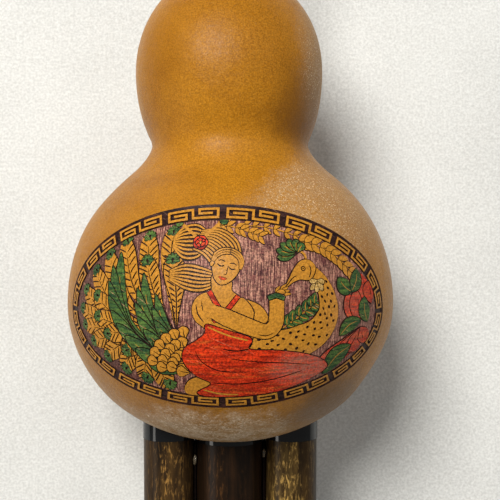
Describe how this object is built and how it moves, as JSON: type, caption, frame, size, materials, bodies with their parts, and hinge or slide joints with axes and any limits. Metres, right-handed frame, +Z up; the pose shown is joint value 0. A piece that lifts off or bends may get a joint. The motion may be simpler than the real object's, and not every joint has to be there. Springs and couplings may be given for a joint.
{
  "type": "hulusi gourd flute",
  "caption": "Gourd flute: hollow gourd wind chest with a mouthpiece, a fingered bamboo melody pipe between two bamboo drone pipes with pull-out mute plugs, and free reeds inside.",
  "frame": {"origin": "on the resting surface, under the middle of the instrument's bounding box", "axes": "+Z up from the resting surface, +Y towards the mouthpiece, +X across the pipes; the carved front faces up, and the long axis slopes 7.20 degrees down towards the pipes, from [0, 0.9921041, 0.1254173]"},
  "size_m": [0.093, 0.4218, 0.0929],
  "materials": {
    "gourd_skin": "waxed, satin, with dusty pale scuffs",
    "carving_ink": "burnt and ink-stained engraved lines, matt",
    "carving_ground": "finely hatched purple-brown ground, matt",
    "carving_gold": "uncut gourd skin between the engraved lines, satin",
    "carving_red": "red dye on gourd skin, satin",
    "carving_green": "green dye on gourd skin, satin",
    "bamboo": "dark mottled bamboo, clear lacquer",
    "black_ring": "polished black",
    "mouthpiece_horn": "polished dark horn",
    "reed_tube": "matt black",
    "reed_bronze": "brushed",
    "wax": "brown sealing wax",
    "glue": "clear amber glue, dried",
    "resin": "dark brown resin, matt"
  },
  "bodies": {
    "instrument": {"gourd_shell": "gourd_skin", "base_wax": "wax", "neck_ring": "black_ring", "mouthpiece": "mouthpiece_horn", "melody_ferrule": "black_ring", "left_ferrule": "black_ring", "right_ferrule": "black_ring", "melody_pipe": "bamboo", "left_drone_pipe": "bamboo", "right_drone_pipe": "bamboo", "melody_end_ring": "black_ring", "left_end_ring": "black_ring", "right_end_ring": "black_ring", "melody_reed_tube": "reed_tube", "left_reed_tube": "reed_tube", "right_reed_tube": "reed_tube", "melody_reed_cap": "reed_tube", "left_reed_cap": "reed_tube", "right_reed_cap": "reed_tube", "melody_reed_plate": "reed_bronze", "left_reed_plate": "reed_bronze", "right_reed_plate": "reed_bronze", "melody_reed_wax": "wax", "left_reed_wax": "wax", "right_reed_wax": "wax", "pipe_seams": "resin", "pipe_glue_spots": "glue"},
    "left_mute_plug": {"left_mute_plug": "black_ring"},
    "right_mute_plug": {"right_mute_plug": "black_ring"},
    "melody_reed_tongue": {"melody_reed_tongue": "reed_bronze"},
    "left_reed_tongue": {"left_reed_tongue": "reed_bronze"},
    "right_reed_tongue": {"right_reed_tongue": "reed_bronze"}
  },
  "joints": [
    {"name": "left_mute_pull", "type": "slide", "parent": "instrument", "child": "left_mute_plug", "axis": [0, -0.9921, -0.1254], "range_m": [0, 0.022]},
    {"name": "right_mute_pull", "type": "slide", "parent": "instrument", "child": "right_mute_plug", "axis": [0, -0.9921, -0.1254], "range_m": [0, 0.022]},
    {"name": "melody_reed_swing", "type": "hinge", "parent": "instrument", "child": "melody_reed_tongue", "pos_m": [0, 0.07808, 0.05371], "axis": [1, 0, 0], "range_deg": [-4, 4], "stiffness_Nm_per_rad": 0.01},
    {"name": "left_reed_swing", "type": "hinge", "parent": "instrument", "child": "left_reed_tongue", "pos_m": [-0.01755, 0.07835, 0.05153], "axis": [1, 0, 0], "range_deg": [-4, 4], "stiffness_Nm_per_rad": 0.01},
    {"name": "right_reed_swing", "type": "hinge", "parent": "instrument", "child": "right_reed_tongue", "pos_m": [0.0177, 0.07833, 0.05168], "axis": [1, 0, 0], "range_deg": [-4, 4], "stiffness_Nm_per_rad": 0.01}
  ]
}
